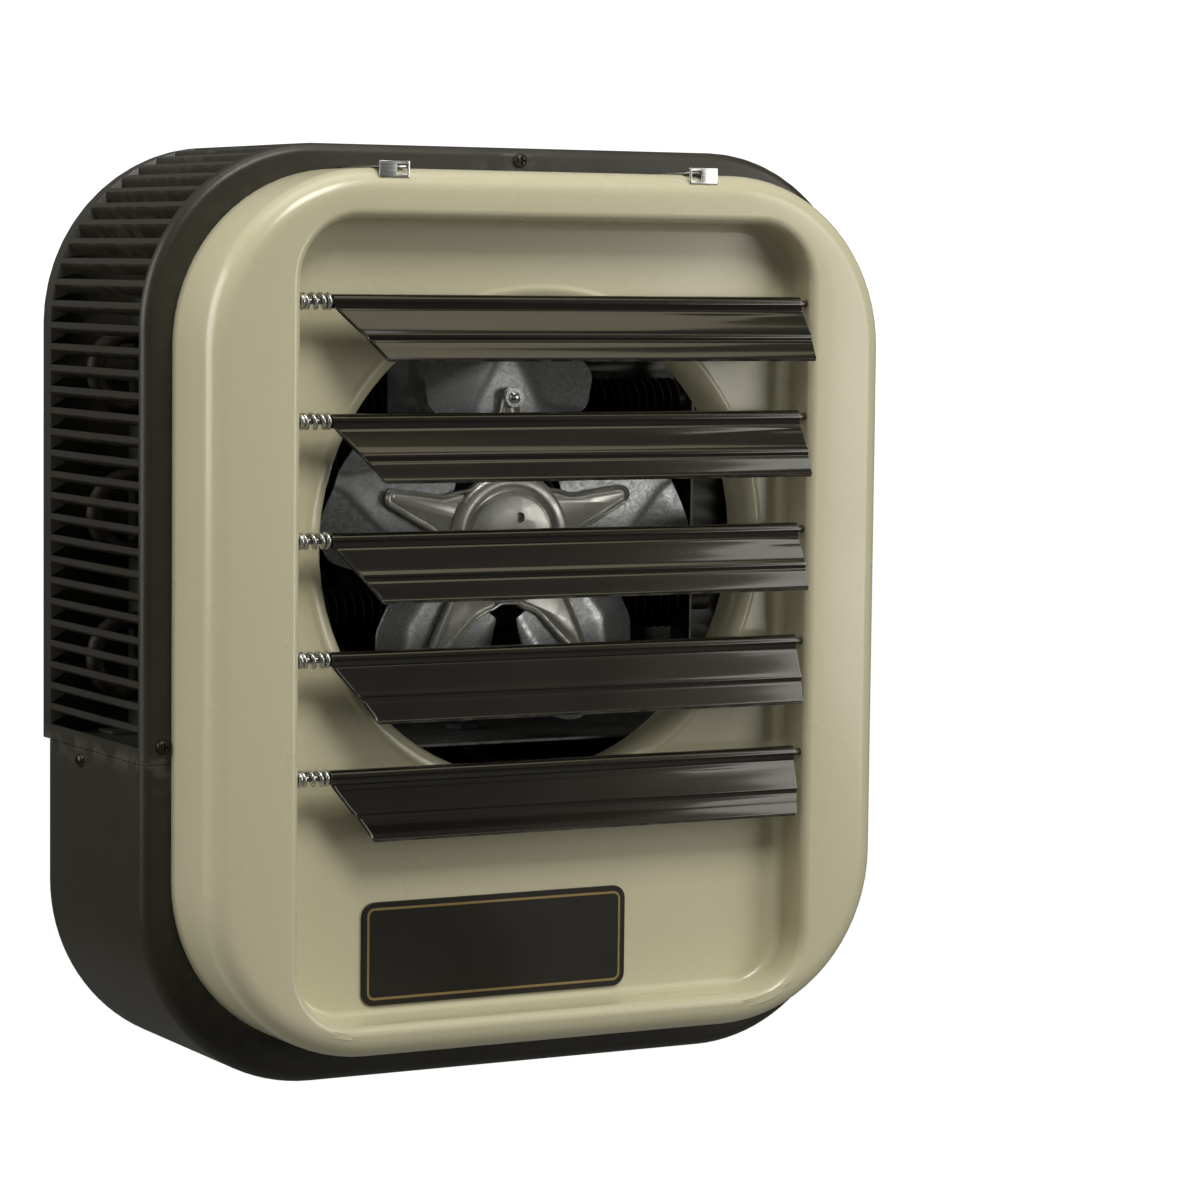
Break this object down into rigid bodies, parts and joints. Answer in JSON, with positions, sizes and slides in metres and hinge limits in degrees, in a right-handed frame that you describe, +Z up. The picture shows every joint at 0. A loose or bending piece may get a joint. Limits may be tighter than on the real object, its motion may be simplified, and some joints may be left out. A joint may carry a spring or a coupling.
{
  "type": "ceiling mounted fan heater",
  "caption": "Suspended fan heater: slotted bronze casing, cream drawn front panel with adjustable sprung louvres, axial fan, finned heating elements and a wiring bay.",
  "frame": {"origin": "middle of the casing's flat top face, where the heater hangs", "axes": "+Z up out of the top face, -Y out of the air outlet, +X to the right of someone facing the louvres"},
  "size_m": [0.3606, 0.171, 0.408],
  "materials": {
    "bronze_paint": "satin baked enamel, dark bronze",
    "cream_enamel": "semi-gloss baked enamel, cream",
    "louvre_bronze": "metallic bronze enamel, semi-gloss",
    "zinc_plate": "bright zinc plate",
    "galvanised": "spangled galvanised sheet",
    "motor_black": "black enamel",
    "element_sheath": "heat-browned steel",
    "black_plastic": "moulded black plastic",
    "plate_black": "black enamel with a gold border line",
    "black_zinc": "blackened screw"
  },
  "bodies": {
    "root": {"upper_casing": "bronze_paint", "lower_casing": "bronze_paint", "rear_panel": "bronze_paint", "wiring_cover": "bronze_paint", "front_panel": "cream_enamel", "name_plate": "plate_black", "panel_clip_left": "zinc_plate", "panel_clip_right": "zinc_plate", "partition_plate": "galvanised", "hanger_nut_left": "zinc_plate", "hanger_nut_right": "zinc_plate", "supply_bush": "black_plastic", "motor_body": "motor_black", "motor_strap": "galvanised", "element_bracket_left": "galvanised", "element_bracket_right": "galvanised", "contactor": "black_plastic", "terminal_block": "black_plastic", "lead_grommet": "black_plastic", "motor_lead": "black_plastic", "limit_switch": "black_plastic", "louvre_rod_1": "zinc_plate", "louvre_spring_1": "zinc_plate", "louvre_rod_2": "zinc_plate", "louvre_spring_2": "zinc_plate", "louvre_rod_3": "zinc_plate", "louvre_spring_3": "zinc_plate", "louvre_rod_4": "zinc_plate", "louvre_spring_4": "zinc_plate", "louvre_rod_5": "zinc_plate", "louvre_spring_5": "zinc_plate", "heating_element_1": "element_sheath", "heating_element_2": "element_sheath", "heating_element_3": "element_sheath", "casing_screw_top": "black_zinc", "casing_screw_left": "black_zinc", "casing_screw_right": "black_zinc", "side_screw_left": "black_zinc", "side_screw_right": "black_zinc", "panel_screw_left": "black_zinc", "panel_screw_right": "black_zinc", "rear_screw_1": "black_zinc", "rear_screw_2": "black_zinc", "rear_screw_3": "black_zinc", "rear_screw_4": "black_zinc", "cover_screw_1": "black_zinc", "cover_screw_2": "black_zinc"},
    "fan": {"fan_spider": "galvanised", "fan_hub": "zinc_plate", "fan_blade_1": "galvanised", "fan_blade_2": "galvanised", "fan_blade_3": "galvanised", "fan_blade_4": "galvanised", "fan_blade_5": "galvanised", "motor_shaft": "zinc_plate"},
    "louvre_1_blade": {"louvre_1": "louvre_bronze"},
    "louvre_2_blade": {"louvre_2": "louvre_bronze"},
    "louvre_3_blade": {"louvre_3": "louvre_bronze"},
    "louvre_4_blade": {"louvre_4": "louvre_bronze"},
    "louvre_5_blade": {"louvre_5": "louvre_bronze"}
  },
  "joints": [
    {"name": "fan_spin", "type": "hinge", "parent": "root", "child": "fan", "pos_m": [0, 0, -0.1725], "axis": [0, 1, 0], "continuous": true},
    {"name": "louvre_1_tilt", "type": "hinge", "parent": "root", "child": "louvre_1_blade", "pos_m": [0, -0.0955, -0.0674], "axis": [-1, 0, 0], "range_deg": [-27, 61]},
    {"name": "louvre_2_tilt", "type": "hinge", "parent": "root", "child": "louvre_2_blade", "pos_m": [0, -0.0955, -0.1179], "axis": [-1, 0, 0], "range_deg": [-22, 66]},
    {"name": "louvre_3_tilt", "type": "hinge", "parent": "root", "child": "louvre_3_blade", "pos_m": [0, -0.0955, -0.1684], "axis": [-1, 0, 0], "range_deg": [-19, 69]},
    {"name": "louvre_4_tilt", "type": "hinge", "parent": "root", "child": "louvre_4_blade", "pos_m": [0, -0.0955, -0.2189], "axis": [-1, 0, 0], "range_deg": [-11, 77]},
    {"name": "louvre_5_tilt", "type": "hinge", "parent": "root", "child": "louvre_5_blade", "pos_m": [0, -0.0955, -0.2694], "axis": [-1, 0, 0], "range_deg": [-3, 85]}
  ]
}
